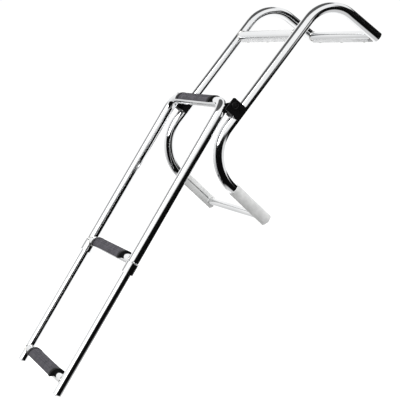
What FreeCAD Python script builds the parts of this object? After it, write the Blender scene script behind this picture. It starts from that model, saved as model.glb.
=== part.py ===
# Boat boarding ladder in millimetres: X across, +Y inboard over the deck, +Z up.
# The origin is on the flat underside of the outboard deck pad, at mid width.
import FreeCAD, Part
import math
import os
import re
import Sketcher

os.makedirs("parts", exist_ok=True)
doc = FreeCAD.newDocument("SwimLadder")
Vector = FreeCAD.Vector
Rotation = FreeCAD.Rotation
Placement = FreeCAD.Placement
X_AXIS = Vector(1, 0, 0)
Y_AXIS = Vector(0, 1, 0)
Z_AXIS = Vector(0, 0, 1)

# Driving dimensions: lengths in millimetres, angles in degrees
SIZES = {
    # hook tubes
    "rail_spacing": 304,
    "tube_dia": 25,
    "tube_wall": 1.5,
    "rail_lean": 39.5,
    "arch_radius": 78,
    "arch_height": 60,
    "arch_drop_angle": 35.5,
    "arch_overrun": 8,
    "rail_below_deck": 262,
    "standoff_radius": 95,
    "leg_angle": 42.5,
    "leg_straight": 115,
    # cross bars of the hook frame
    "deck_bar_dia": 22,
    "deck_bar_wall": 1.5,
    "pad_drop": 15.5,
    "pad_width": 14,
    "pad_side": 7,
    "pad_end_gap": 6,
    "hull_bar_dia": 18,
    "hull_bar_wall": 1.2,
    "hull_bar_inset": 11.5,
    # tube end plugs
    "plug_spigot": 12,
    "plug_fit": 0.05,
    "flat_plug_lip": 2,
    "foot_plug_rise": 4,
    # vinyl sleeves on the legs
    "sleeve_wall": 1.5,
    "sleeve_fit": 0.05,
    "sleeve_length": 108,
    "sleeve_crown": 4.5,
    "sleeve_slit": 2.5,
    "sleeve_bar_gap": 0.3,
    # hinge
    "hinge_along": 219,
    "hinge_off_rail": 24,
    "hinge_off_stile": 16.5,
    "block_below": 20,
    "block_above": 13,
    "block_outboard": 12.5,
    "block_behind": 1.5,
    "block_side": 18,
    "block_corner": 3,
    "block_inner_side": 18,
    "block_cheek_gap": 0.7,
    "block_saddle": 9,
    "block_hub": 8,
    "block_hub_inner": 7,
    "saddle_fit": 0.05,
    "slot_fit": 0.2,
    "pin_dia": 6,
    "pin_fit": 0.06,
    "pin_head_dia": 12,
    "pin_head_height": 2.6,
    "pin_recess_dia": 18,
    "pin_recess_depth": 2,
    "pin_past_nut": 1,
    "nut_flats": 10,
    "nut_height": 5,
    "lug_thick": 6,
    "lug_eye": 9,
    "lug_reach": 22,
    "lug_root": 31,
    "lug_toe": 4,
    "stop_gap": 0.3,
    # ladder section
    "stile_lean": 32.25,
    "hoop_bend_radius": 32,
    "top_rung_below_pin": 4.5,
    "mid_rung_below_top": 395,
    "low_rung_below_mid": 292.5,
    "mid_rung_dia": 22,
    "rung_wall": 1.5,
    "stile_below_mid": 15,
    # collars and sliding stiles
    "collar_above": 12,
    "collar_below": 14,
    "collar_dia": 28.5,
    "slide_dia": 20,
    "slide_wall": 1.5,
    "slide_fit": 0.08,
    "bush_length": 40,
    "foot_below_rung": 30.5,
    # treads
    "tread_length": 200,
    "tread_radius": 18,
    "tread_drop": 4,
    "tread_wall": 2.6,
    "tread_web": 2.5,
    "tread_web_inset": 12,
    "rib_rise": 0.9,
    "rib_step_angle": 15,
}
TREAD_WEBS = 5
TREAD_RIBS = 5

sheet = doc.addObject("Spreadsheet::Sheet", "Sizes")
for row, (alias, size) in enumerate(SIZES.items(), start=1):
    sheet.set(f"A{row}", alias)
    sheet.set(f"B{row}", str(size))
    sheet.setAlias(f"B{row}", alias)
doc.recompute()


def cell(formula):
    """Writes each alias in a formula as a reference to its cell."""
    return re.sub("[a-z_]+", lambda word: "Sizes." * (word.group() in SIZES) + word.group(), formula)


def value(formula):
    """Works a formula out from the cells."""
    return float(sheet.evalExpression(cell(formula)))


def bind(thing, prop, formula):
    thing.setExpression(prop, cell(formula))


# Places that several pieces share, as formulas of the driving dimensions
TUBE_R = "( tube_dia / 2 )"
BORE_R = "( tube_dia / 2 - tube_wall )"
RAIL_X = "( rail_spacing / 2 )"
ARCH_CENTRE_Z = "( arch_height - arch_radius )"
ARCH_START = f"( ( {ARCH_CENTRE_Z} + arch_radius * sin( rail_lean ) ) / cos( rail_lean ) )"
ARCH_CENTRE_Y = f"( {ARCH_START} * sin( rail_lean ) + arch_radius * cos( rail_lean ) )"
DROP_TOP_Z = f"( {ARCH_CENTRE_Z} + arch_radius * cos( arch_drop_angle ) )"
DROP_TOP_Y = f"( {ARCH_CENTRE_Y} + arch_radius * sin( arch_drop_angle ) )"
INBOARD_BAR_Y = f"( {DROP_TOP_Y} + {DROP_TOP_Z} / tan( arch_drop_angle ) )"
DROP_LENGTH = f"( {DROP_TOP_Z} / sin( arch_drop_angle ) + arch_overrun )"
BEND_Y = "( 0 - rail_below_deck * sin( rail_lean ) )"
BEND_Z = "( 0 - rail_below_deck * cos( rail_lean ) )"
STANDOFF_Y = f"( {BEND_Y} + standoff_radius * cos( rail_lean ) )"
STANDOFF_Z = f"( {BEND_Z} - standoff_radius * sin( rail_lean ) )"
LEG_TOP_Y = f"( {STANDOFF_Y} - standoff_radius * sin( leg_angle ) )"
LEG_TOP_Z = f"( {STANDOFF_Z} - standoff_radius * cos( leg_angle ) )"
ARCH_END_Y = f"( {DROP_TOP_Y} + {DROP_LENGTH} * cos( arch_drop_angle ) )"
ARCH_END_Z = f"( {DROP_TOP_Z} - {DROP_LENGTH} * sin( arch_drop_angle ) )"
LEG_END_Y = f"( {LEG_TOP_Y} + leg_straight * cos( leg_angle ) )"
LEG_END_Z = f"( {LEG_TOP_Z} - leg_straight * sin( leg_angle ) )"
HULL_BAR_Y = f"( {LEG_TOP_Y} + ( leg_straight - hull_bar_inset ) * cos( leg_angle ) )"
HULL_BAR_Z = f"( {LEG_TOP_Z} - ( leg_straight - hull_bar_inset ) * sin( leg_angle ) )"
PIN_Y = "( 0 - hinge_along * sin( rail_lean ) - hinge_off_rail * cos( rail_lean ) )"
PIN_Z = "( pad_drop - hinge_along * cos( rail_lean ) + hinge_off_rail * sin( rail_lean ) )"
STILE_Y = "( 0 - hinge_off_stile )"
TOP_Z = "( 0 - top_rung_below_pin )"
MID_Z = f"( {TOP_Z} - mid_rung_below_top )"
LOW_Z = f"( {MID_Z} - low_rung_below_mid )"
STILE_END_Z = f"( {MID_Z} - stile_below_mid )"
SLIDE_TOP_Z = f"( {STILE_END_Z} + stop_gap + bush_length )"
SLIDE_END_Z = f"( {LOW_Z} - foot_below_rung )"


def stile_y(along):
    """Where a point of the stiles' axis lies, inboard of the deck bar."""
    return f"( {PIN_Y} + {STILE_Y} * cos( stile_lean ) + {along} * sin( stile_lean ) )"


def stile_z(along):
    """How high a point of the stiles' axis lies."""
    return f"( {PIN_Z} + {along} * cos( stile_lean ) - {STILE_Y} * sin( stile_lean ) )"


def place(thing, y="0", z="0", x="0", lean=None):
    """Binds where a piece stands, and how far it leans inboard about the X axis."""
    turn = Rotation(X_AXIS * -1, value(lean or "0"))
    thing.Placement = Placement(Vector(value(x), value(y), value(z)), turn)
    bind(thing, "Placement.Base.x", x)
    bind(thing, "Placement.Base.y", y)
    bind(thing, "Placement.Base.z", z)
    if lean:
        bind(thing, "Placement.Rotation.Angle", lean)


def place_in_stile_frame(thing, y="0", z="0", x="0", turn="stile_lean"):
    """Places a piece from the hinge pin, in a frame whose Z axis runs up along the stiles."""
    along_y = f"( {y} * cos( stile_lean ) + {z} * sin( stile_lean ) )"
    along_z = f"( {z} * cos( stile_lean ) - {y} * sin( stile_lean ) )"
    place(thing, x=x, y=f"{PIN_Y} + {along_y}", z=f"{PIN_Z} + {along_z}", lean=turn)


def new_body(label):
    body = doc.addObject("PartDesign::Body", label)
    body.Label = label
    return body


def new_sketch(body, plane, name, offset="0"):
    """Adds a sketch on one of the body's own planes, moved along the plane's normal."""
    sketch = body.newObject("Sketcher::SketchObject", name)
    origin_plane = [item for item in body.Origin.OriginFeatures if item.Role == plane][0]
    sketch.AttachmentSupport = [(origin_plane, "")]
    sketch.MapMode = "FlatFace"
    sketch.AttachmentOffset = Placement(Z_AXIS * value(offset), Rotation())
    if offset != "0":
        bind(sketch, "AttachmentOffset.Base.z", offset)
    return sketch


def add_circle(sketch, radius, x="0", y="0"):
    """Adds a circle whose radius and centre follow the cells."""
    index = sketch.addGeometry(Part.Circle(Vector(value(x), value(y), 0), Z_AXIS, value(radius)))
    bind_size(sketch, Sketcher.Constraint("Radius", index, value(radius)), radius)
    pin_point(sketch, index, 3, x, y)
    return index


def bind_size(sketch, constraint, formula):
    number = sketch.addConstraint(constraint)
    bind(sketch, f"Constraints[{number}]", formula)


def pin_point(sketch, index, point, x, y):
    """Ties one point of a sketch to the origin, across and up."""
    for kind, formula in (("DistanceX", x), ("DistanceY", y)):
        if formula == "0":
            other = -2 if kind == "DistanceX" else -1
            sketch.addConstraint(Sketcher.Constraint("PointOnObject", index, point, other))
        else:
            bind_size(sketch, Sketcher.Constraint(kind, -1, 1, index, point, value(formula)), formula)


def add_polygon(sketch, corners):
    """Adds a closed outline of straight lines whose corners follow the cells."""
    points = [Vector(value(x), value(y), 0) for x, y in corners]
    lines = []
    for start, end in zip(points, points[1:] + points[:1]):
        lines.append(sketch.addGeometry(Part.LineSegment(start, end)))
    for line, following in zip(lines, lines[1:] + lines[:1]):
        sketch.addConstraint(Sketcher.Constraint("Coincident", line, 2, following, 1))
    for line, (x, y) in zip(lines, corners):
        pin_point(sketch, line, 1, x, y)
    return lines


def pad(body, sketch, length, name, midplane=False):
    feature = body.newObject("PartDesign::Pad", name)
    feature.Profile = sketch
    feature.Midplane = midplane
    bind(feature, "Length", length)
    return feature


def pocket(body, sketch, length, name, midplane=False, flipped=False):
    feature = body.newObject("PartDesign::Pocket", name)
    feature.Profile = sketch
    feature.Midplane = midplane
    feature.Reversed = flipped
    bind(feature, "Length", length)
    return feature


def revolve(body, sketch, name):
    """Turns a sketch a full turn about its own upright axis."""
    feature = body.newObject("PartDesign::Revolution", name)
    feature.Profile = sketch
    feature.ReferenceAxis = (sketch, ["V_Axis"])
    feature.Angle = 360
    return feature


def tube_along_x(label, dia, wall, length):
    """A straight tube, or a rod where no wall is given, centred on the X axis."""
    body = new_body(label)
    sketch = new_sketch(body, "YZ_Plane", label + "_section")
    add_circle(sketch, f"{dia} / 2")
    if wall:
        add_circle(sketch, f"{dia} / 2 - {wall}")
    pad(body, sketch, length, label + "_pad", midplane=True)
    return body


def round_cutter(label, radius, length, x="0", y="0", z="0", lean=None):
    """A cylinder along a tube's axis, used to fit another piece against that tube."""
    cutter = doc.addObject("Part::Cylinder", label)
    bind(cutter, "Radius", radius)
    bind(cutter, "Height", length)
    lean_formula = lean or "0"
    base_y = f"{y} - {length} / 2 * sin( {lean_formula} )"
    base_z = f"{z} - {length} / 2 * cos( {lean_formula} )"
    place(cutter, x=x, y=base_y, z=base_z, lean=lean)
    return cutter


def cut(label, base, *tools):
    """Takes the tools away from the base, one after another."""
    shape = base
    for number, tool in enumerate(tools, start=1):
        step = doc.addObject("Part::Cut", f"{label}_cut_{number}")
        step.Base = shape
        step.Tool = tool
        shape = step
    shape.Label = label
    return shape


def coped_bar(label, dia, wall, tube_radius, lean, y="0", z="0"):
    """A cross bar whose ends are cut to the round of the two tubes it is welded between."""
    bar = tube_along_x(label + "_stock", dia, wall, "rail_spacing")
    sides = []
    for side, x in (("left", f"0 - {RAIL_X}"), ("right", RAIL_X)):
        sides.append(round_cutter(f"{label}_{side}_cope", tube_radius, "tube_dia * 4", x=x, lean=lean))
    coped = cut(label, bar, *sides)
    place(coped, y=y, z=z)
    return coped


# Bent tubes
def add_hook_path(sketch):
    """Arch end, arch, handrail, standoff bend and leg as one line of tangent runs."""
    drop = value("arch_drop_angle")
    leg = value("leg_angle")

    def at(y, z):
        return Vector(value(y), value(z), 0)

    arch_centre = at(ARCH_CENTRE_Y, ARCH_CENTRE_Z)
    drop_top = at(DROP_TOP_Y, DROP_TOP_Z)
    arch_start = at(f"{ARCH_START} * sin( rail_lean )", f"{ARCH_START} * cos( rail_lean )")
    bend = at(BEND_Y, BEND_Z)
    standoff = at(STANDOFF_Y, STANDOFF_Z)
    leg_top = at(LEG_TOP_Y, LEG_TOP_Z)
    arch_end = drop_top + Rotation(Z_AXIS, -drop).multVec(X_AXIS) * value(DROP_LENGTH)
    leg_end = leg_top + Rotation(Z_AXIS, -leg).multVec(X_AXIS) * value("leg_straight")
    arch_mid = arch_centre + Vector(0, value("arch_radius"), 0)
    standoff_mid = standoff - Vector(value("standoff_radius"), 0, 0)
    drop_run = sketch.addGeometry(Part.LineSegment(drop_top, arch_end))
    arch = sketch.addGeometry(Part.Arc(drop_top, arch_mid, arch_start))
    rail = sketch.addGeometry(Part.LineSegment(arch_start, bend))
    turn = sketch.addGeometry(Part.Arc(bend, standoff_mid, leg_top))
    leg_run = sketch.addGeometry(Part.LineSegment(leg_top, leg_end))
    for run, start, arc, end in ((drop_run, 1, arch, 1), (rail, 1, arch, 2),
                                 (rail, 2, turn, 1), (leg_run, 1, turn, 2)):
        sketch.addConstraint(Sketcher.Constraint("Tangent", run, start, arc, end))
    bind_size(sketch, Sketcher.Constraint("Radius", arch, value("arch_radius")), "arch_radius")
    bind_size(sketch, Sketcher.Constraint("Radius", turn, value("standoff_radius")), "standoff_radius")
    pin_point(sketch, arch, 3, ARCH_CENTRE_Y, ARCH_CENTRE_Z)
    pin_point(sketch, turn, 3, STANDOFF_Y, STANDOFF_Z)
    bind_size(sketch, Sketcher.Constraint("Distance", drop_run, value(DROP_LENGTH)), DROP_LENGTH)
    bind_size(sketch, Sketcher.Constraint("Distance", leg_run, value("leg_straight")), "leg_straight")
    for run, slope in ((drop_run, "arch_drop_angle"), (leg_run, "leg_angle")):
        bind_size(sketch, Sketcher.Constraint("Angle", run, -math.radians(value(slope))), f"0 - {slope}")


def make_hook_tube(side, x):
    label = "hook_tube_" + side
    body = new_body(label)
    path = new_sketch(body, "YZ_Plane", label + "_path")
    add_hook_path(path)
    section = new_sketch(body, "XY_Plane", label + "_section")
    turn = "( 90 - arch_drop_angle )"
    arch_end = Vector(0, value(ARCH_END_Y), value(ARCH_END_Z))
    section.AttachmentOffset = Placement(arch_end, Rotation(X_AXIS, value(turn)))
    bind(section, "AttachmentOffset.Base.y", ARCH_END_Y)
    bind(section, "AttachmentOffset.Base.z", ARCH_END_Z)
    bind(section, "AttachmentOffset.Rotation.Angle", turn)
    add_circle(section, TUBE_R)
    add_circle(section, BORE_R)
    pipe = body.newObject("PartDesign::AdditivePipe", label + "_pipe")
    pipe.Profile = section
    pipe.Spine = path
    place(body, x=x, z="pad_drop")
    return body


def make_hoop(label, radii):
    """The inverted U of outer stiles and top rung, swept with the section circles given."""
    body = new_body(label)
    path = new_sketch(body, "XZ_Plane", label + "_path")
    half = value(RAIL_X)
    bend = value("hoop_bend_radius")
    top = value(TOP_Z)
    low = value(STILE_END_Z)
    spread = f"( {RAIL_X} - hoop_bend_radius )"
    shoulder = f"( {TOP_Z} - hoop_bend_radius )"
    diagonal = bend * value("sin( 45 )")
    left = path.addGeometry(Part.LineSegment(Vector(-half, low, 0), Vector(-half, top - bend, 0)))
    left_mid = Vector(-half + bend - diagonal, top - bend + diagonal, 0)
    left_end = Vector(-half + bend, top, 0)
    left_bend = path.addGeometry(Part.Arc(Vector(-half, top - bend, 0), left_mid, left_end))
    rung = path.addGeometry(Part.LineSegment(left_end, Vector(half - bend, top, 0)))
    right_mid = Vector(half - bend + diagonal, top - bend + diagonal, 0)
    right_end = Vector(half, top - bend, 0)
    right_bend = path.addGeometry(Part.Arc(Vector(half - bend, top, 0), right_mid, right_end))
    right = path.addGeometry(Part.LineSegment(right_end, Vector(half, low, 0)))
    for run, start, arc, end in ((left, 2, left_bend, 2), (rung, 1, left_bend, 1),
                                 (rung, 2, right_bend, 2), (right, 1, right_bend, 1)):
        path.addConstraint(Sketcher.Constraint("Tangent", run, start, arc, end))
    for arc, x in ((left_bend, f"0 - {spread}"), (right_bend, spread)):
        bind_size(path, Sketcher.Constraint("Radius", arc, bend), "hoop_bend_radius")
        pin_point(path, arc, 3, x, shoulder)
    pin_point(path, left, 1, f"0 - {RAIL_X}", STILE_END_Z)
    pin_point(path, right, 2, RAIL_X, STILE_END_Z)
    section = new_sketch(body, "XY_Plane", label + "_section", offset=STILE_END_Z)
    for radius in radii:
        add_circle(section, radius, x=f"0 - {RAIL_X}")
    pipe = body.newObject("PartDesign::AdditivePipe", label + "_pipe")
    pipe.Profile = section
    pipe.Spine = path
    return body


# Hook frame
def make_pad(label, y):
    """A rubber strip with a hollow back that seats on the round of a deck bar."""
    strip = new_body(label + "_stock")
    sketch = new_sketch(strip, "YZ_Plane", label + "_section")
    low = "0 - pad_drop"
    high = "0 - pad_side"
    add_polygon(sketch, [("0 - pad_width / 2", low), ("pad_width / 2", low),
                         ("pad_width / 2", high), ("0 - pad_width / 2", high)])
    pad(strip, sketch, "rail_spacing - tube_dia - pad_end_gap * 2", label + "_pad", midplane=True)
    bar = tube_along_x(label + "_bar", "deck_bar_dia", None, "rail_spacing")
    strip_on_bar = cut(label, strip, bar)
    place(strip_on_bar, y=y, z="pad_drop")
    return strip_on_bar


def add_domed_section(sketch, corners, rise):
    """Half of a round section: straight lines through the corners, then a dome back to the axis."""
    points = [Vector(value(x), value(y), 0) for x, y in corners]
    crown = Vector(0, value(rise), 0)
    outer = corners[-1][0]
    lines = []
    for start, end in zip(points, points[1:]):
        lines.append(sketch.addGeometry(Part.LineSegment(start, end)))
    ball = f"( ( {outer} * {outer} + {rise} * {rise} ) / ( 2 * {rise} ) )"
    centre = Vector(0, value(f"{rise} - {ball}"), 0)
    side_angle = value(f"atan( {outer} / ( {ball} - {rise} ) ) / 2")
    middle = centre + Rotation(Z_AXIS, -side_angle).multVec(Y_AXIS) * value(ball)
    dome = sketch.addGeometry(Part.Arc(points[-1], middle, crown))
    back = sketch.addGeometry(Part.LineSegment(crown, points[0]))
    for line, following in zip(lines, lines[1:]):
        sketch.addConstraint(Sketcher.Constraint("Coincident", line, 2, following, 1))
    sketch.addConstraint(Sketcher.Constraint("Coincident", lines[-1], 2, dome, 1))
    sketch.addConstraint(Sketcher.Constraint("Coincident", dome, 2, back, 1))
    sketch.addConstraint(Sketcher.Constraint("Coincident", back, 2, lines[0], 1))
    for line, (x, y) in zip(lines, corners):
        pin_point(sketch, line, 1, x, y)
    pin_point(sketch, dome, 1, outer, "0")
    pin_point(sketch, dome, 2, "0", rise)
    sketch.addConstraint(Sketcher.Constraint("PointOnObject", dome, 3, -2))


def make_plug(label, dia, wall, rise, domed):
    """A plug for a tube's end, with its outer face up: the spigot below lies in the bore."""
    body = new_body(label)
    sketch = new_sketch(body, "XZ_Plane", label + "_section")
    outer = f"( {dia} / 2 )"
    spigot = f"( {dia} / 2 - {wall} - plug_fit )"
    corners = [("0", "0 - plug_spigot"), (spigot, "0 - plug_spigot"), (spigot, "0"), (outer, "0")]
    if domed:
        add_domed_section(sketch, corners, rise)
    else:
        add_polygon(sketch, corners + [(outer, rise), ("0", rise)])
    revolve(body, sketch, label + "_turn")
    return body


def make_leg_sleeve(label):
    """The right leg's vinyl sleeve, closed over the tube's end and slit along its inner side.

    The slit lets it go on past the hull bar, which stands in a round opening.
    """
    body = new_body(label)
    sketch = new_sketch(body, "XZ_Plane", label + "_section")
    bore = f"( {TUBE_R} + sleeve_fit )"
    outer = f"( {TUBE_R} + sleeve_wall )"
    add_domed_section(sketch, [("0", "0"), (bore, "0"), (bore, "0 - sleeve_length"),
                               (outer, "0 - sleeve_length"), (outer, "0")], "sleeve_crown")
    revolve(body, sketch, label + "_turn")
    slit = new_sketch(body, "YZ_Plane", label + "_slit")
    add_polygon(slit, [("0 - sleeve_slit / 2", "0 - sleeve_length - sleeve_slit"),
                       ("sleeve_slit / 2", "0 - sleeve_length - sleeve_slit"),
                       ("sleeve_slit / 2", "0 - hull_bar_inset"),
                       ("0 - sleeve_slit / 2", "0 - hull_bar_inset")])
    pocket(body, slit, "tube_dia", label + "_slit_cut")
    opening = new_sketch(body, "YZ_Plane", label + "_opening")
    add_circle(opening, "hull_bar_dia / 2 + sleeve_bar_gap", y="0 - hull_bar_inset")
    pocket(body, opening, "tube_dia", label + "_opening_cut")
    return body


def edges_across(shape, corners):
    """Names of the edges along X that stand at these corners of a side view."""
    places = [(value(y), value(z)) for y, z in corners]
    names = []
    for number, edge in enumerate(shape.Edges, start=1):
        ends = [(point.Point.y, point.Point.z) for point in edge.Vertexes]
        if any(all(math.dist(end, place) < 0.01 for end in ends) for place in places):
            names.append(f"Edge{number}")
    return names


def make_hinge_block(label):
    """The right-hand block, from the pin, with its Z axis along the handrail.

    A saddle grips the rail from outboard, a hub carries the pin, a heel stops the stile
    and an outer cheek covers the hinge.
    """
    body = new_body(label)
    behind = "( hinge_off_rail + block_behind )"
    low = "( 0 - block_below )"
    inner = f"( {RAIL_X} - block_inner_side )"
    outer = f"( {RAIL_X} + block_side )"
    cheek = f"( {RAIL_X} + {TUBE_R} + block_cheek_gap )"
    hub_inner = f"( {RAIL_X} - block_hub_inner )"
    heel_face = "( stop_gap + tube_dia / 2 - hinge_off_stile )"
    heel_low = f"( {heel_face} + block_below * tan( rail_lean - stile_lean ) )"
    heel_high = f"( {heel_face} + block_hub * tan( rail_lean - stile_lean ) )"

    outboard = "( 0 - block_outboard )"
    corners = [(outboard, low), (behind, low), (behind, "block_above"), (outboard, "block_above")]
    cheek_sketch = new_sketch(body, "YZ_Plane", label + "_cheek", offset=cheek)
    add_polygon(cheek_sketch, corners)
    pad(body, cheek_sketch, f"{outer} - {cheek}", label + "_cheek_pad")

    saddle_sketch = new_sketch(body, "YZ_Plane", label + "_saddle", offset=inner)
    add_polygon(saddle_sketch, [("block_saddle", low), (behind, low),
                                (behind, "block_above"), ("block_saddle", "block_above")])
    pad(body, saddle_sketch, f"{cheek} - {inner}", label + "_saddle_pad")

    heel_sketch = new_sketch(body, "YZ_Plane", label + "_heel", offset=hub_inner)
    add_polygon(heel_sketch, [(heel_low, low), ("block_saddle", low),
                              ("block_saddle", "block_hub"), ("0", "block_hub"),
                              ("0", "0 - block_hub"), (heel_high, "0 - block_hub")])
    pad(body, heel_sketch, f"{cheek} - {hub_inner}", label + "_heel_pad")

    hub_sketch = new_sketch(body, "YZ_Plane", label + "_hub", offset=hub_inner)
    add_circle(hub_sketch, "block_hub")
    hub = pad(body, hub_sketch, f"{cheek} - {hub_inner}", label + "_hub_pad")

    doc.recompute()
    rounding = body.newObject("PartDesign::Fillet", label + "_rounding")
    rounding.Base = (hub, edges_across(hub.Shape, corners))
    bind(rounding, "Radius", "block_corner")

    bore_sketch = new_sketch(body, "XY_Plane", label + "_bore")
    add_circle(bore_sketch, f"{TUBE_R} + saddle_fit", x=RAIL_X, y="hinge_off_rail")
    pocket(body, bore_sketch, "block_below * 4", label + "_bore_cut", midplane=True)

    slot_sketch = new_sketch(body, "YZ_Plane", label + "_slot", offset=RAIL_X)
    slot_back = "( lug_eye + slot_fit * 3 )"
    slot_front = "( 0 - block_outboard * 2 )"
    add_polygon(slot_sketch, [(slot_front, "0 - block_below * 2"), (slot_back, "0 - block_below * 2"),
                              (slot_back, "block_above * 2"), (slot_front, "block_above * 2")])
    pocket(body, slot_sketch, "lug_thick + slot_fit * 2", label + "_slot_cut", midplane=True)

    pin_sketch = new_sketch(body, "YZ_Plane", label + "_pin", offset=RAIL_X)
    add_circle(pin_sketch, "pin_dia / 2 + pin_fit")
    pocket(body, pin_sketch, "block_side * 3", label + "_pin_cut", midplane=True)

    recess_sketch = new_sketch(body, "YZ_Plane", label + "_recess", offset=outer)
    add_circle(recess_sketch, "pin_recess_dia / 2")
    pocket(body, recess_sketch, "pin_recess_depth", label + "_recess_cut")
    place(body, y=PIN_Y, z=PIN_Z, lean="rail_lean")
    return body


def make_pin(label):
    """The right-hand hinge bolt: a low round head in the recess and a plain shank."""
    body = new_body(label)
    seat = f"( {RAIL_X} + block_side - pin_recess_depth )"
    tip = f"( {RAIL_X} - block_hub_inner - nut_height - pin_past_nut )"
    shank = new_sketch(body, "YZ_Plane", label + "_shank", offset=tip)
    add_circle(shank, "pin_dia / 2")
    pad(body, shank, f"{seat} - {tip}", label + "_shank_pad")
    head = new_sketch(body, "YZ_Plane", label + "_head", offset=seat)
    add_circle(head, "pin_head_dia / 2")
    pad(body, head, "pin_head_height", label + "_head_pad")
    place(body, y=PIN_Y, z=PIN_Z)
    return body


def make_nut(label):
    """A plain hexagon nut against the block's inner face."""
    body = new_body(label)
    seat = f"{RAIL_X} - block_hub_inner - nut_height"
    sketch = new_sketch(body, "YZ_Plane", label + "_section", offset=seat)
    corner = "nut_flats / 2 / cos( 30 )"
    turns = range(5, 365, 60)
    add_polygon(sketch, [(f"{corner} * cos( {turn} )", f"{corner} * sin( {turn} )") for turn in turns])
    add_circle(sketch, "pin_dia / 2")
    pad(body, sketch, "nut_height", label + "_pad")
    place(body, y=PIN_Y, z=PIN_Z)
    return body


def mirrored(label, source):
    """The same piece on the left side."""
    mirror = doc.addObject("Part::Mirroring", label)
    mirror.Source = source
    mirror.Normal = X_AXIS
    mirror.Label = label
    return mirror


# Ladder section and extension
def make_lug(label, envelope):
    """An eye plate on the hoop's shoulder, cut to the round of the tube."""
    body = new_body(label + "_stock")
    sketch = new_sketch(body, "YZ_Plane", label + "_plate", offset=RAIL_X)
    add_polygon(sketch, [("0", "lug_eye"), ("0 - hinge_off_stile", "0 - top_rung_below_pin"),
                         ("0 - hinge_off_stile", "0 - lug_root"), ("0 - lug_toe", "0 - lug_reach"),
                         ("lug_eye", "0")])
    pad(body, sketch, "lug_thick", label + "_plate_pad", midplane=True)
    eye = new_sketch(body, "YZ_Plane", label + "_eye", offset=RAIL_X)
    add_circle(eye, "lug_eye")
    pad(body, eye, "lug_thick", label + "_eye_pad", midplane=True)
    hole = new_sketch(body, "YZ_Plane", label + "_hole", offset=RAIL_X)
    add_circle(hole, "pin_dia / 2 + pin_fit")
    pocket(body, hole, "lug_thick * 2", label + "_hole_cut", midplane=True)
    lug = cut(label, body, envelope)
    place_in_stile_frame(lug)
    return lug


def make_tread(label, rung_dia, y, z):
    """A level half-round cover over a rung, with ribs on top and webs that seat on the rung."""
    body = new_body(label)
    section = new_sketch(body, "YZ_Plane", label + "_section")
    add_circle(section, "tread_radius")
    pad(body, section, "tread_length", label + "_shell", midplane=True)
    ribs = new_sketch(body, "YZ_Plane", label + "_ribs")
    for step in range(-(TREAD_RIBS // 2), TREAD_RIBS // 2 + 1):
        turn = f"( rib_step_angle * {step} )"
        add_circle(ribs, "rib_rise", x=f"tread_radius * sin{turn}", y=f"tread_radius * cos{turn}")
    pad(body, ribs, "tread_length", label + "_rib_row", midplane=True)
    hollow = new_sketch(body, "YZ_Plane", label + "_hollow")
    add_circle(hollow, "tread_radius - tread_wall")
    pocket(body, hollow, "tread_length * 2", label + "_hollow_cut", midplane=True)
    web_start = "( 0 - tread_length / 2 + tread_web_inset )"
    web = new_sketch(body, "YZ_Plane", label + "_web", offset=web_start)
    add_circle(web, "tread_radius - tread_wall / 2")
    web_pad = pad(body, web, "tread_web", label + "_web_pad")
    row = body.newObject("PartDesign::LinearPattern", label + "_web_row")
    row.Originals = [web_pad]
    row.Direction = (web, ["N_Axis"])
    row.Occurrences = TREAD_WEBS
    bind(row, "Length", "tread_length - tread_web_inset * 2 - tread_web")
    body.Tip = row
    under = new_sketch(body, "YZ_Plane", label + "_under")
    wide = "tread_radius * 2"
    add_polygon(under, [(f"0 - {wide}", f"0 - {wide}"), (wide, f"0 - {wide}"),
                        (wide, "tread_drop"), (f"0 - {wide}", "tread_drop")])
    pocket(body, under, "tread_length * 2", label + "_under_cut", midplane=True)
    seat = new_sketch(body, "YZ_Plane", label + "_seat")
    add_circle(seat, f"{rung_dia} / 2", y="tread_drop")
    pocket(body, seat, "tread_length * 2", label + "_seat_cut", midplane=True)
    place(body, y=y, z=f"{z} - tread_drop")
    return body


def make_collar(label, x):
    """A socket round the end of an outer stile, with a lip that guides the sliding stile."""
    body = new_body(label)
    sketch = new_sketch(body, "XZ_Plane", label + "_section")
    guide = "( slide_dia / 2 + slide_fit )"
    outer = "( collar_dia / 2 )"
    add_polygon(sketch, [(guide, "0 - collar_below"), (outer, "0 - collar_below"), (outer, "collar_above"),
                         (TUBE_R, "collar_above"), (TUBE_R, "0"), (guide, "0")])
    revolve(body, sketch, label + "_turn")
    place_in_stile_frame(body, y=STILE_Y, z=STILE_END_Z, x=x)
    return body


def make_bush(label, x):
    """A plastic sleeve on the top of a sliding stile, which runs in the outer stile's bore."""
    body = new_body(label)
    sketch = new_sketch(body, "XZ_Plane", label + "_section")
    outer = f"( {BORE_R} - slide_fit )"
    add_polygon(sketch, [("slide_dia / 2", "stop_gap"), (outer, "stop_gap"),
                         (outer, "stop_gap + bush_length"), ("slide_dia / 2", "stop_gap + bush_length")])
    revolve(body, sketch, label + "_turn")
    place_in_stile_frame(body, y=STILE_Y, z=STILE_END_Z, x=x)
    return body


def make_sliding_stile(label, x):
    body = new_body(label)
    sketch = new_sketch(body, "XY_Plane", label + "_section")
    add_circle(sketch, "slide_dia / 2")
    add_circle(sketch, "slide_dia / 2 - slide_wall")
    pad(body, sketch, f"{SLIDE_TOP_Z} - {SLIDE_END_Z}", label + "_pad")
    place_in_stile_frame(body, y=STILE_Y, z=SLIDE_END_Z, x=x)
    return body


SIDES = (("left", f"0 - {RAIL_X}"), ("right", RAIL_X))
parts = []


def keep(thing):
    parts.append(thing)
    return thing


for side, x in SIDES:
    keep(make_hook_tube(side, x))
    arch_plug = make_plug("arch_end_plug_" + side, "tube_dia", "tube_wall", "flat_plug_lip", domed=False)
    place(keep(arch_plug), x=x, y=ARCH_END_Y, z=f"pad_drop + {ARCH_END_Z}", lean="90 + arch_drop_angle")

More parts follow.
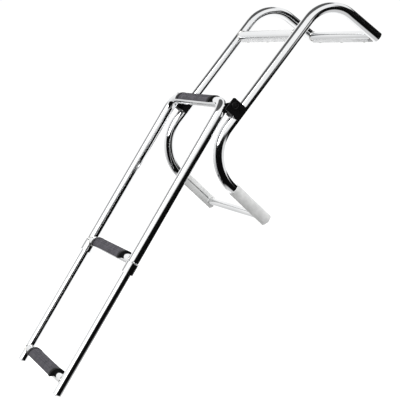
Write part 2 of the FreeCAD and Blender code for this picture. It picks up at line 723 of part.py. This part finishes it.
sleeve = keep(make_leg_sleeve("leg_sleeve_right"))
place(sleeve, x=RAIL_X, y=LEG_END_Y, z=f"pad_drop + {LEG_END_Z}", lean="90 + leg_angle")
keep(mirrored("leg_sleeve_left", sleeve))

keep(coped_bar("outboard_deck_bar", "deck_bar_dia", "deck_bar_wall", TUBE_R, "rail_lean", z="pad_drop"))
keep(coped_bar("inboard_deck_bar", "deck_bar_dia", "deck_bar_wall", TUBE_R, "90 + arch_drop_angle",
               y=INBOARD_BAR_Y, z="pad_drop"))
keep(coped_bar("hull_cross_bar", "hull_bar_dia", "hull_bar_wall", TUBE_R, "90 + leg_angle",
               y=HULL_BAR_Y, z=f"pad_drop + {HULL_BAR_Z}"))
keep(make_pad("outboard_deck_pad", "0"))
keep(make_pad("inboard_deck_pad", INBOARD_BAR_Y))

for name, maker in (("hinge_block", make_hinge_block), ("hinge_bolt", make_pin), ("hinge_nut", make_nut)):
    right = keep(maker(name + "_right"))
    keep(mirrored(name + "_left", right))

hoop = keep(make_hoop("ladder_hoop", (TUBE_R, BORE_R)))
place_in_stile_frame(hoop, y=STILE_Y)
envelope = make_hoop("hoop_envelope", (TUBE_R,))
place(envelope, y=STILE_Y)
lug = keep(make_lug("hinge_lug_right", envelope))
keep(mirrored("hinge_lug_left", lug))
rung = coped_bar("mid_rung_stock", "mid_rung_dia", "rung_wall", TUBE_R, "stile_lean",
                 y=stile_y(MID_Z), z=stile_z(MID_Z))
socket_z = f"( {STILE_END_Z} + ( collar_above - collar_below ) / 2 )"
sockets = []
for side, x in SIDES:
    socket = round_cutter("socket_round_" + side, "collar_dia / 2", "( collar_above + collar_below )", x=x,
                          y=stile_y(socket_z), z=stile_z(socket_z), lean="stile_lean")
    sockets.append(socket)
keep(cut("mid_rung", rung, *sockets))
keep(make_tread("top_tread", "tube_dia", stile_y(TOP_Z), stile_z(TOP_Z)))
keep(make_tread("mid_tread", "mid_rung_dia", stile_y(MID_Z), stile_z(MID_Z)))

keep(coped_bar("bottom_rung", "slide_dia", "rung_wall", "slide_dia / 2", "stile_lean",
               y=stile_y(LOW_Z), z=stile_z(LOW_Z)))
keep(make_tread("bottom_tread", "slide_dia", stile_y(LOW_Z), stile_z(LOW_Z)))
for side, x in SIDES:
    keep(make_collar("slide_collar_" + side, x))
    keep(make_sliding_stile("extension_stile_" + side, x))
    keep(make_bush("guide_bush_" + side, x))
    foot = make_plug("foot_plug_" + side, "slide_dia", "slide_wall", "foot_plug_rise", domed=True)
    place_in_stile_frame(keep(foot), y=STILE_Y, z=SLIDE_END_Z, x=x, turn="180 + stile_lean")

doc.recompute()
failed = [item.Label for item in doc.Objects if "Invalid" in item.State or "Error" in item.State]
failed += [part.Label for part in parts if part.Shape.isNull() or not part.Shape.isValid()]
if failed:
    raise RuntimeError("pieces that did not build: " + ", ".join(sorted(set(failed))))
for part in parts:
    part.Shape.exportStep(os.path.join("parts", part.Label + ".step"))
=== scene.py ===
# Boat swim ladder dressed for the render: materials, welds, small fasteners, studio light and camera.
import bpy
import bmesh
import math
from mathutils import Matrix, Vector


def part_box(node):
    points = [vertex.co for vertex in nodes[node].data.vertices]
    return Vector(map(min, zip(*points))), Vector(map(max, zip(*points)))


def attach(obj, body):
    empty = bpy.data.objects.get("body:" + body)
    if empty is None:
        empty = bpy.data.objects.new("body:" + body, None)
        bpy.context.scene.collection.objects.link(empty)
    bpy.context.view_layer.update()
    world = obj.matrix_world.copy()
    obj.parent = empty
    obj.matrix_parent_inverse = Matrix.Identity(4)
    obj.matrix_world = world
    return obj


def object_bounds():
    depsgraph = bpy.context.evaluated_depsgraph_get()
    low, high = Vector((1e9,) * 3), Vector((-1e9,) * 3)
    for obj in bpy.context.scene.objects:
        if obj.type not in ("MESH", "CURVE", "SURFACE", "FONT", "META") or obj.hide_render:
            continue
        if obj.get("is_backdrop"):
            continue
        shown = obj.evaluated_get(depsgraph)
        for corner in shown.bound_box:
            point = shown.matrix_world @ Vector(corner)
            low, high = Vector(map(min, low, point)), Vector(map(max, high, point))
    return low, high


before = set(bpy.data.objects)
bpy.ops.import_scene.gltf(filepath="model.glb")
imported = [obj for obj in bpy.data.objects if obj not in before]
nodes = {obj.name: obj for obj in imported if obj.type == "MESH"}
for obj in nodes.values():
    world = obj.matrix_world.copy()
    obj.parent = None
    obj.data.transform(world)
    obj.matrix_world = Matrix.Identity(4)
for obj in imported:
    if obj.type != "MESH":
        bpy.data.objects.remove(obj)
cad_low, cad_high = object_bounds()
scene = bpy.context.scene

# Sizes and places shared with the solids, in metres and degrees
TUBE_R = 0.0125
DECK_BAR_R = 0.011
MID_RUNG_R = 0.011
SLIDE_R = 0.010
COLLAR_R = 0.01425
COLLAR_LENGTH = 0.026
MID_RUNG_TO_COLLAR = -0.003  # the collar's upper lip, along the stile from the rung's axis
TREAD_HALF = 0.100
TREAD_R = 0.018
TREAD_DROP = 0.004  # how far the centre of the tread's round lies below the rung's axis
BLOCK_FACE_X = 0.170
RAIL_LEAN = 39.5
STILE_LEAN = 32.25
ARCH_DROP = 35.5
RAIL_X = 0.152
PIN = Vector((0.0, -0.1578201, -0.1382099))

X_AXIS = Vector((1.0, 0.0, 0.0))
DOWN = Vector((0.0, 0.0, -1.0))
SIDES = ((-1, "left"), (1, "right"))
WHITE = (1.0, 1.0, 1.0, 1.0)
BLACK = (0.0, 0.0, 0.0, 1.0)


def turned(angle):
    """Direction of a tube that leans inboard by this angle from upright."""
    return Vector((0.0, math.sin(math.radians(angle)), math.cos(math.radians(angle))))


def square_to(direction):
    """The inboard direction at right angles to a leaning tube."""
    return Vector((0.0, direction.z, -direction.y))


def node_centre(name):
    low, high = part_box(name)
    return (Vector(low) + Vector(high)) / 2


def ring_angles(steps):
    return [2 * math.pi * step / steps for step in range(steps)]


STILE_UP = turned(STILE_LEAN)
STILE_IN = square_to(STILE_UP)


# Materials
def new_material(name):
    material = bpy.data.materials.new(name)
    material.use_nodes = True
    tree = material.node_tree
    return material, tree, tree.nodes["Principled BSDF"]


def add(tree, kind, **values):
    node = tree.nodes.new(kind)
    for key, item in values.items():
        setattr(node, key, item)
    return node


def noise(tree, scale, detail=2.0, rough=0.5):
    """Noise in object space."""
    place = add(tree, "ShaderNodeTexCoord")
    texture = add(tree, "ShaderNodeTexNoise")
    texture.inputs["Scale"].default_value = scale
    texture.inputs["Detail"].default_value = detail
    texture.inputs["Roughness"].default_value = rough
    tree.links.new(place.outputs["Object"], texture.inputs["Vector"])
    return texture.outputs["Fac"]


def ramp(tree, source, low, high):
    """Turns a noise value into a range of plain values or colours."""
    steps = add(tree, "ShaderNodeValToRGB")
    for element, position, colour in zip(steps.color_ramp.elements, (0.35, 0.65), (low, high)):
        element.position = position
        element.color = (*colour, 1.0)
    tree.links.new(source, steps.inputs["Fac"])
    return steps.outputs["Color"]


def grey(value):
    return (value, value, value)


def bump(tree, shader, height, strength, distance):
    node = add(tree, "ShaderNodeBump")
    node.inputs["Strength"].default_value = strength
    node.inputs["Distance"].default_value = distance
    tree.links.new(height, node.inputs["Height"])
    tree.links.new(node.outputs["Normal"], shader.inputs["Normal"])


def make_steel(name, tint_noise, tints, sheen_noise, sheens, grain_noise, grain_strength, grain_depth):
    """Stainless steel: a slight range of tint and sheen, and a fine grain."""
    material, tree, shader = new_material(name)
    shader.inputs["Metallic"].default_value = 1.0
    tree.links.new(ramp(tree, noise(tree, *tint_noise), *tints), shader.inputs["Base Color"])
    sheen = ramp(tree, noise(tree, *sheen_noise), grey(sheens[0]), grey(sheens[1]))
    tree.links.new(sheen, shader.inputs["Roughness"])
    bump(tree, shader, noise(tree, *grain_noise), grain_strength, grain_depth)
    return material


def make_moulded(name, dark, light, sheens, grain, depth, gloss=0.45):
    """Moulded plastic: slight clouding of the colour and a fine mould grain."""
    material, tree, shader = new_material(name)
    tree.links.new(ramp(tree, noise(tree, 45.0, 4.0, 0.6), dark, light), shader.inputs["Base Color"])
    sheen = ramp(tree, noise(tree, 120.0, 3.0), grey(sheens[0]), grey(sheens[1]))
    tree.links.new(sheen, shader.inputs["Roughness"])
    shader.inputs["Specular IOR Level"].default_value = gloss
    bump(tree, shader, noise(tree, grain, 3.0, 0.6), 0.4, depth)
    return material


# Buffed tube, mirror bright with faint smears; small forged parts; weld beads, duller and warmer than the tube
steel = make_steel("polished_stainless", (9.0, 3.0), ((0.80, 0.81, 0.82), (0.87, 0.875, 0.88)),
                   (26.0, 5.0, 0.6), (0.03, 0.08), (900.0, 2.0), 0.05, 0.0004)
satin = make_steel("satin_stainless", (60.0, 3.0), ((0.50, 0.52, 0.49), (0.66, 0.67, 0.64)),
                   (180.0, 3.0), (0.22, 0.36), (1400.0, 2.0), 0.15, 0.0003)
weld = make_steel("weld_stainless", (240.0, 3.0), ((0.60, 0.58, 0.54), (0.78, 0.78, 0.77)),
                  (300.0, 2.0), (0.16, 0.32), (1100.0, 3.0), 0.25, 0.0004)
tread_plastic = make_moulded("tread_plastic", (0.033, 0.031, 0.039), (0.055, 0.051, 0.063),
                             (0.45, 0.62), 1500.0, 0.0005, gloss=0.22)
black_plastic = make_moulded("black_plastic", (0.0022, 0.0022, 0.0025), (0.0050, 0.0050, 0.0055),
                             (0.34, 0.50), 1700.0, 0.0003, gloss=0.10)
cap_plastic = make_moulded("cap_plastic", (0.003, 0.003, 0.0035), (0.007, 0.007, 0.0075),
                           (0.20, 0.30), 1700.0, 0.0002, gloss=0.30)
rubber = make_moulded("pad_rubber", (0.68, 0.685, 0.69), (0.78, 0.785, 0.79), (0.55, 0.72), 900.0, 0.0004)
sleeve_vinyl = make_moulded("sleeve_vinyl", (0.66, 0.665, 0.66), (0.80, 0.805, 0.80),
                            (0.42, 0.58), 700.0, 0.0004, gloss=0.3)
light_plastic = make_moulded("light_plastic", (0.66, 0.67, 0.66), (0.74, 0.74, 0.72),
                             (0.35, 0.5), 1600.0, 0.0002)

# The first word that a solid's name holds gives its material
LOOK = {
    "hook_tube": steel, "deck_bar": steel, "cross_bar": steel, "hoop": steel, "rung": steel, "stile": steel,
    "collar": steel, "lug": steel, "bolt": black_plastic, "nut": satin, "tread": tread_plastic,
    "block": black_plastic, "foot_plug": black_plastic, "pad": rubber, "arch_end_plug": light_plastic,
    "leg_sleeve": sleeve_vinyl, "bush": light_plastic,
}


def look_of(name):
    for word, material in LOOK.items():
        if word in name:
            return material
    raise KeyError(name)


for name, node in nodes.items():
    material = look_of(name)
    if not node.material_slots:
        node.data.materials.append(material)
    for slot in node.material_slots:
        slot.material = material

# Softened edges on the moulded and machined parts, by the width of each
SOFT_EDGES = (("hinge_block", 0.0012), ("collar", 0.0006), ("lug", 0.0008), ("bolt", 0.0006),
              ("nut", 0.0004), ("plug", 0.0005), ("pad", 0.0012), ("sleeve", 0.0009))
for word, width in SOFT_EDGES:
    for name, node in nodes.items():
        if word in name:
            edge = node.modifiers.new("soft_edge", "BEVEL")
            edge.width = width
            edge.segments = 2
            edge.limit_method = "ANGLE"
            edge.angle_limit = math.radians(40)
            edge.harden_normals = False


# Small pieces
def mesh_piece(name, builder, material, body):
    """A smooth piece that rides a body of the ladder."""
    mesh = bpy.data.meshes.new(name)
    work = bmesh.new()
    builder(work)
    bmesh.ops.recalc_face_normals(work, faces=work.faces)
    work.to_mesh(mesh)
    work.free()
    for polygon in mesh.polygons:
        polygon.use_smooth = True
    piece = bpy.data.objects.new(name, mesh)
    scene.collection.objects.link(piece)
    mesh.materials.append(material)
    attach(piece, body)
    return piece


def crease(piece, angle):
    """Keeps the corners of a smooth moulding that are sharper than this angle."""
    work = bmesh.new()
    work.from_mesh(piece.data)
    for edge in work.edges:
        if len(edge.link_faces) == 2 and edge.calc_face_angle(0.0) > math.radians(angle):
            edge.smooth = False
    work.to_mesh(piece.data)
    work.free()


def sweep_ring(work, points, normals, radius, ripple, around=10):
    """A closed bead along a ring of points, with the small ripples of a weld run."""
    count = len(points)
    rings = []
    for index, point in enumerate(points):
        ahead = points[(index + 1) % count] - points[index - 1]
        ahead.normalize()
        side = normals[index].normalized()
        other = ahead.cross(side).normalized()
        size = radius * (1.0 + ripple * math.cos(index * math.pi))
        rings.append([work.verts.new(point + side * (size * math.cos(angle)) + other * (size * math.sin(angle)))
                      for angle in ring_angles(around)])
    for index in range(count):
        here, there = rings[index], rings[(index + 1) % count]
        for step in range(around):
            ahead = (step + 1) % around
            work.faces.new((here[step], here[ahead], there[ahead], there[step]))


def lathe(work, centre, axis, profile, steps=40):
    """Turns a profile of (radius, height) pairs about an axis."""
    axis = axis.normalized()
    side = axis.orthogonal().normalized()
    other = axis.cross(side)
    rings = []
    for radius, height in profile:
        level = centre + axis * height
        if radius == 0.0:
            rings.append([work.verts.new(level)])
        else:
            rings.append([work.verts.new(level + (side * math.cos(angle) + other * math.sin(angle)) * radius)
                          for angle in ring_angles(steps)])
    for here, there in zip(rings, rings[1:]):
        for step in range(steps):
            ahead = (step + 1) % steps
            if len(here) == 1:
                work.faces.new((here[0], there[ahead], there[step]))
            elif len(there) == 1:
                work.faces.new((here[step], here[ahead], there[0]))
            else:
                work.faces.new((here[step], here[ahead], there[ahead], there[step]))


# Weld beads where the bars meet the tubes
WELD_BEAD = 0.0016
WELD_RIPPLE = 0.10
WELD_STEPS = 56
COLLAR_BLEND = 0.001  # the bead climbs from the tube onto the collar over this length
BOTTOM_WELD_SINK = 0.0004  # rung and stile are equal tubes there, so the bead lies a little inside the rung


def add_weld(name, body, centre, bar_r, tube_r, lean, side, collar_top):
    """The weld where a cross bar meets the round of a tube, or of the collar on its lower part."""
    direction = turned(lean)
    across = square_to(direction)
    points, normals = [], []
    for angle in ring_angles(WELD_STEPS):
        around = Vector((0.0, math.cos(angle), math.sin(angle)))
        offset = around.dot(across) * bar_r
        round_r = tube_r
        if collar_top is not None:
            onto_collar = (collar_top - around.dot(direction) * bar_r) / COLLAR_BLEND
            round_r += (COLLAR_R - tube_r) * min(max(onto_collar, 0.0), 1.0)
        depth = math.sqrt(max(round_r * round_r - offset * offset, 0.0))
        points.append(centre + around * bar_r + X_AXIS * (side * (RAIL_X - depth)))
        tube_normal = (across * offset - X_AXIS * (side * depth)).normalized()
        normals.append(around + tube_normal)
    mesh_piece(name, lambda work: sweep_ring(work, points, normals, WELD_BEAD, WELD_RIPPLE), weld, body)


# Bar, body, the bar's and the tube's radius, the tube's lean, and the collar's lip if the weld crosses one
WELDS = (
    ("outboard_deck_bar", "hook_frame", DECK_BAR_R, TUBE_R, RAIL_LEAN, None),
    ("inboard_deck_bar", "hook_frame", DECK_BAR_R, TUBE_R, 90 + ARCH_DROP, None),
    ("mid_rung", "ladder_section", MID_RUNG_R, TUBE_R, STILE_LEAN, MID_RUNG_TO_COLLAR),
    ("bottom_rung", "extension", SLIDE_R - BOTTOM_WELD_SINK, SLIDE_R, STILE_LEAN, None),
)
for bar, body, bar_r, tube_r, lean, collar_top in WELDS:
    middle = node_centre(bar)
    middle.x = 0.0
    for side, word in SIDES:
        add_weld(f"weld_{bar}_{word}", body, middle, bar_r, tube_r, lean, side, collar_top)


# Beads at the upper lips of the collars
LIP_BEAD = 0.0019
LIP_BEAD_OFF_TUBE = 0.0006


def add_collar_bead(word):
    lip = node_centre(f"slide_collar_{word}") + STILE_UP * (COLLAR_LENGTH / 2)
    normals = [X_AXIS * math.cos(angle) + STILE_IN * math.sin(angle) for angle in ring_angles(48)]
    points = [lip + normal * (TUBE_R + LIP_BEAD_OFF_TUBE) for normal in normals]
    mesh_piece(f"collar_bead_{word}", lambda work: sweep_ring(work, points, normals, LIP_BEAD, 0.0, 14),
               steel, "ladder_section")


for side, word in SIDES:
    add_collar_bead(word)


# Black caps that close the ends of the treads round the rungs
CAP_BAND = 0.011
CAP_WALL = 0.0012
CAP_LIP = 0.0003
CAP_CORNER = 0.0010
CAP_SKIN_GAP = 0.0001
CAP_RUNG_GAP = 0.0002
CAP_ARC_STEPS = 40


def tread_arc(radius, angle):
    """How far the tread's round lies from the rung's axis in one direction."""
    rise = TREAD_DROP * math.sin(angle)
    return -rise + math.sqrt(rise * rise + radius * radius - TREAD_DROP * TREAD_DROP)


def add_tread_cap(name, body, middle, rung_r, side):
    """Half a cup over the tread's end, open below, drawn as one section swept over the round."""
    band = TREAD_HALF - CAP_BAND
    seat = TREAD_HALF + CAP_SKIN_GAP
    face = TREAD_HALF + CAP_WALL

    def build(work):
        rows = []
        for step in range(CAP_ARC_STEPS + 1):
            angle = math.pi * step / CAP_ARC_STEPS
            outward = Vector((0.0, math.cos(angle), math.sin(angle)))
            skin = tread_arc(TREAD_R - CAP_SKIN_GAP, angle)
            outer = tread_arc(TREAD_R + CAP_WALL, angle)
            hole = rung_r + CAP_RUNG_GAP
            section = ((band, skin), (band, outer - CAP_LIP), (band + CAP_LIP, outer),
                       (face - CAP_CORNER, outer), (face - CAP_LIP, outer - CAP_LIP), (face, outer - CAP_CORNER),
                       (face, hole), (seat, hole), (seat, skin))
            rows.append([work.verts.new(middle + X_AXIS * (side * x) + outward * reach) for x, reach in section])
        for here, there in zip(rows, rows[1:]):
            for index in range(len(here)):
                ahead = (index + 1) % len(here)
                work.faces.new((here[index], here[ahead], there[ahead], there[index]))
        work.faces.new(rows[0])
        work.faces.new(list(reversed(rows[-1])))

    crease(mesh_piece(name, build, black_plastic, body), 35)


TREADS = (
    ("top_tread", "ladder_section", TUBE_R),
    ("mid_tread", "ladder_section", MID_RUNG_R),
    ("bottom_tread", "extension", SLIDE_R),
)
for tread, body, rung_r in TREADS:
    low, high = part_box(tread)
    axis_level = Vector((0.0, (low[1] + high[1]) / 2, low[2]))
    for side, word in SIDES:
        add_tread_cap(f"{tread}_cap_{word}", body, axis_level, rung_r, side)


# Round caps pressed over the heads of the hinge bolts: radius, and height over the block's face
PIN_CAP = ((0.0, 0.00135), (0.0030, 0.00130), (0.0056, 0.00110), (0.0064, 0.00105), (0.0068, 0.00125),
           (0.0074, 0.00135), (0.0080, 0.00115), (0.0083, 0.00070), (0.0084, 0.0), (0.0084, -0.00190),
           (0.0066, -0.00190), (0.0066, 0.00075), (0.0, 0.00075))
for side, word in SIDES:
    seat = Vector((side * BLOCK_FACE_X, PIN.y, PIN.z))
    cap = mesh_piece(f"hinge_cap_{word}", lambda work: lathe(work, seat, X_AXIS * side, PIN_CAP),
                     cap_plastic, "hook_frame")
    crease(cap, 50)


# Screws that hold the rubber strips, from below, their heads sunk in the rubber
SCREW_R = 0.0032
SCREW_HEIGHT = 0.0014
# Shares of the radius and of the height, from the dimple in the crown to the foot
SCREW_SHAPE = ((0.0, 0.45), (0.30, 0.45), (0.42, 0.98), (0.62, 0.86), (0.84, 0.55), (0.97, 0.22),
               (1.0, 0.0), (1.0, -1.0), (0.0, -1.0))
SCREW_PROFILE = [(reach * SCREW_R, rise * SCREW_HEIGHT) for reach, rise in SCREW_SHAPE]
SCREW_SHARES = (-0.8, 0.0, 0.8)  # places along the strip, as shares of its half length

for strip in ("outboard_deck_pad", "inboard_deck_pad"):
    low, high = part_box(strip)
    for index, share in enumerate(SCREW_SHARES):
        place = Vector((high[0] * share, (low[1] + high[1]) / 2, low[2]))
        screw = mesh_piece(f"{strip}_screw_{index + 1}", lambda work: lathe(work, place, DOWN, SCREW_PROFILE, 24),
                           satin, "hook_frame")
        crease(screw, 50)


# Camera at the photograph's viewing angle
CAMERA_AZIMUTH = 67.722
CAMERA_ELEVATION = 7.295
CAMERA_ROLL = 0.097
CAMERA_PLACE = Vector((2.464898, -1.179551, -0.022206))
FOCAL_PIXELS = 1161.063
PICTURE_PIXELS = 400
SENSOR = 36.0


def aim_camera():
    data = bpy.data.cameras.new("camera")
    camera = bpy.data.objects.new("camera", data)
    scene.collection.objects.link(camera)
    azimuth, elevation, roll = (math.radians(angle) for angle in (CAMERA_AZIMUTH, CAMERA_ELEVATION, CAMERA_ROLL))
    back = Vector((math.sin(azimuth) * math.cos(elevation), -math.cos(azimuth) * math.cos(elevation),
                   math.sin(elevation)))
    right = back.cross(DOWN).normalized()
    up = back.cross(right)
    turned_right = right * math.cos(roll) + up * math.sin(roll)
    turned_up = up * math.cos(roll) - right * math.sin(roll)
    matrix = Matrix((turned_right, turned_up, back)).transposed().to_4x4()
    matrix.translation = CAMERA_PLACE
    camera.matrix_world = matrix
    data.sensor_width = SENSOR
    data.lens = FOCAL_PIXELS / PICTURE_PIXELS * SENSOR
    data.clip_start = 0.05
    data.clip_end = 60.0
    scene.camera = camera


aim_camera()


# Floor, lights and the reflector card
def set_piece(name, corners):
    """A flat piece of the set, which isn't a part of the ladder."""
    mesh = bpy.data.meshes.new(name)
    work = bmesh.new()
    work.faces.new([work.verts.new(corner) for corner in corners])
    work.to_mesh(mesh)
    work.free()
    piece = bpy.data.objects.new(name, mesh)
    scene.collection.objects.link(piece)
    return piece


def paint_matt(piece, name, colour, roughness, glow):
    """A matt surface that glows a little."""
    material, _, shader = new_material(name)
    shader.inputs["Base Color"].default_value = colour
    shader.inputs["Roughness"].default_value = roughness
    shader.inputs["Specular IOR Level"].default_value = 0.0
    shader.inputs["Emission Color"].default_value = WHITE
    shader.inputs["Emission Strength"].default_value = glow
    piece.data.materials.append(material)


FLOOR_HALF = 30.0
FLOOR_BELOW = 0.35


def add_floor():
    """A white floor well below the ladder, which hangs free in the photograph. Reflections don't show the floor."""
    floor = set_piece("floor", [(x * FLOOR_HALF, y * FLOOR_HALF, 0.0)
                                for x, y in ((-1, -1), (1, -1), (1, 1), (-1, 1))])
    floor.location = (0.0, 0.0, cad_low.z - FLOOR_BELOW)
    floor.visible_glossy = False
    floor.visible_diffuse = False
    paint_matt(floor, "studio_floor", WHITE, 0.9, 0.15)
    floor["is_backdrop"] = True


add_floor()


def add_area(name, place, size, size_y, power):
    """A soft rectangular light that points at the ladder."""
    data = bpy.data.lights.new(name, "AREA")
    data.shape = "RECTANGLE"
    data.size = size
    data.size_y = size_y
    data.energy = power
    light = bpy.data.objects.new(name, data)
    scene.collection.objects.link(light)
    light.location = place
    light.rotation_mode = "QUATERNION"
    light.rotation_quaternion = (Vector((0.0, -0.2, -0.3)) - Vector(place)).to_track_quat("-Z", "Y")
    return light


add_area("key_left", (2.2, -4.2, 2.6), 2.6, 3.6, 130)
top_soft = add_area("top_soft", (0.4, -0.2, 4.4), 4.0, 4.0, 120)
top_soft.visible_glossy = False  # reflections show the studio's dark ceiling there

CARD_LEAN = 36.0
CARD_INBOARD = 0.32
CARD_X = (-0.60, 0.02)
CARD_ALONG = (-1.45, 0.35)


def add_reflector():
    """A white card behind the left-hand tubes, which shows in reflections alone."""
    up = turned(CARD_LEAN)
    inboard = square_to(up)
    card = set_piece("reflector", [X_AXIS * CARD_X[i] + up * CARD_ALONG[j] + inboard * CARD_INBOARD
                                   for i, j in ((0, 0), (1, 0), (1, 1), (0, 1))])
    card.visible_camera = False
    card.visible_diffuse = False
    card.visible_shadow = False
    card.visible_transmission = False
    paint_matt(card, "reflector_card", BLACK, 1.0, 1.15)
    card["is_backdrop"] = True


add_reflector()


def set_world():
    """A white surround for the camera, and soft light from above. Reflections, which are all that polished metal
    shows, see a studio instead: bright panels, a bright table below, and the dark room between them."""
    world = bpy.data.worlds.new("studio")
    scene.world = world
    world.use_nodes = True
    tree = world.node_tree
    tree.nodes.clear()
    direction = add(tree, "ShaderNodeTexCoord").outputs["Generated"]
    path = add(tree, "ShaderNodeLightPath")
    up = (0.0, 0.0, 1.0)

    def feed(value, socket):
        if isinstance(value, float):
            socket.default_value = value
        else:
            tree.links.new(value, socket)

    def band(axis, start, stop, low, high):
        """Fades from low to high as a direction turns towards the axis, between the cosines start and stop."""
        dot = add(tree, "ShaderNodeVectorMath", operation="DOT_PRODUCT")
        dot.inputs[1].default_value = Vector(axis).normalized()
        tree.links.new(direction, dot.inputs[0])
        fade = add(tree, "ShaderNodeMapRange", interpolation_type="SMOOTHSTEP")
        for key, value in (("From Min", start), ("From Max", stop), ("To Min", low), ("To Max", high)):
            fade.inputs[key].default_value = value
        tree.links.new(dot.outputs["Value"], fade.inputs["Value"])
        return fade.outputs["Result"]

    def combine(kind, first, *others):
        """Joins values two by two with one kind of arithmetic."""
        for item in others:
            node = add(tree, "ShaderNodeMath", operation=kind)
            feed(first, node.inputs[0])
            feed(item, node.inputs[1])
            first = node.outputs["Value"]
        return first

    def background(shade, strength):
        node = add(tree, "ShaderNodeBackground")
        node.inputs["Color"].default_value = (*grey(shade), 1.0)
        feed(strength, node.inputs["Strength"])
        return node.outputs["Background"]

    def choose(ray, other_rays, these_rays):
        node = add(tree, "ShaderNodeMixShader")
        tree.links.new(path.outputs[ray], node.inputs["Fac"])
        tree.links.new(other_rays, node.inputs[1])
        tree.links.new(these_rays, node.inputs[2])
        return node.outputs["Shader"]

    # The dark room: 1 where a direction meets it, 0 where it meets a panel or the table
    under_panels = combine("MINIMUM", band((-0.15, 0.445, 1.0), -0.04, 0.05, 1.0, 0.0),
                           band(up, 0.17, 0.28, 1.0, 0.0))
    under_level = band(up, -0.33, -0.25, 1.0, 0.0)
    side_wall = combine("MULTIPLY", band((0.10, 1.0, 0.0), 0.50, 0.62, 0.0, 1.0),
                        band(up, 0.10, 0.20, 0.0, 1.0), band(up, 0.52, 0.62, 1.0, 0.0))
    wall_foot = band((0.835, 0.549, 0.052), 0.968, 0.980, 0.0, 1.0)
    above_table = band((0.0, -0.2, 1.0), -0.78, -0.66, 0.0, 1.0)
    in_front = band((1.0, 0.25, 0.0), -0.62, -0.42, 0.0, 1.0)
    walls = combine("MAXIMUM", under_panels, under_level, side_wall, wall_foot)
    room = combine("MULTIPLY", walls, above_table, in_front, 0.995)
    ceiling = combine("MAXIMUM", band((-0.133, -0.112, 0.985), 0.79, 0.845, 0.0, 0.90),
                      band((-0.52, -0.58, 0.63), 0.942, 0.976, 0.0, 0.75))
    dark = combine("MAXIMUM", room, ceiling)
    panels = band(up, -0.50, 0.30, 0.88, 1.30)

    studio = background(0.8, combine("MULTIPLY", combine("SUBTRACT", 1.0, dark), panels))
    soft = background(0.8, band((0.15, -0.25, 1.0), -0.45, 0.45, 0.30, 1.20))
    surround = background(1.0, 1.03)
    out = add(tree, "ShaderNodeOutputWorld")
    tree.links.new(choose("Is Camera Ray", choose("Is Glossy Ray", soft, studio), surround), out.inputs["Surface"])


set_world()
scene.view_settings.view_transform = "Standard"
scene.view_settings.look = "None"

low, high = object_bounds()
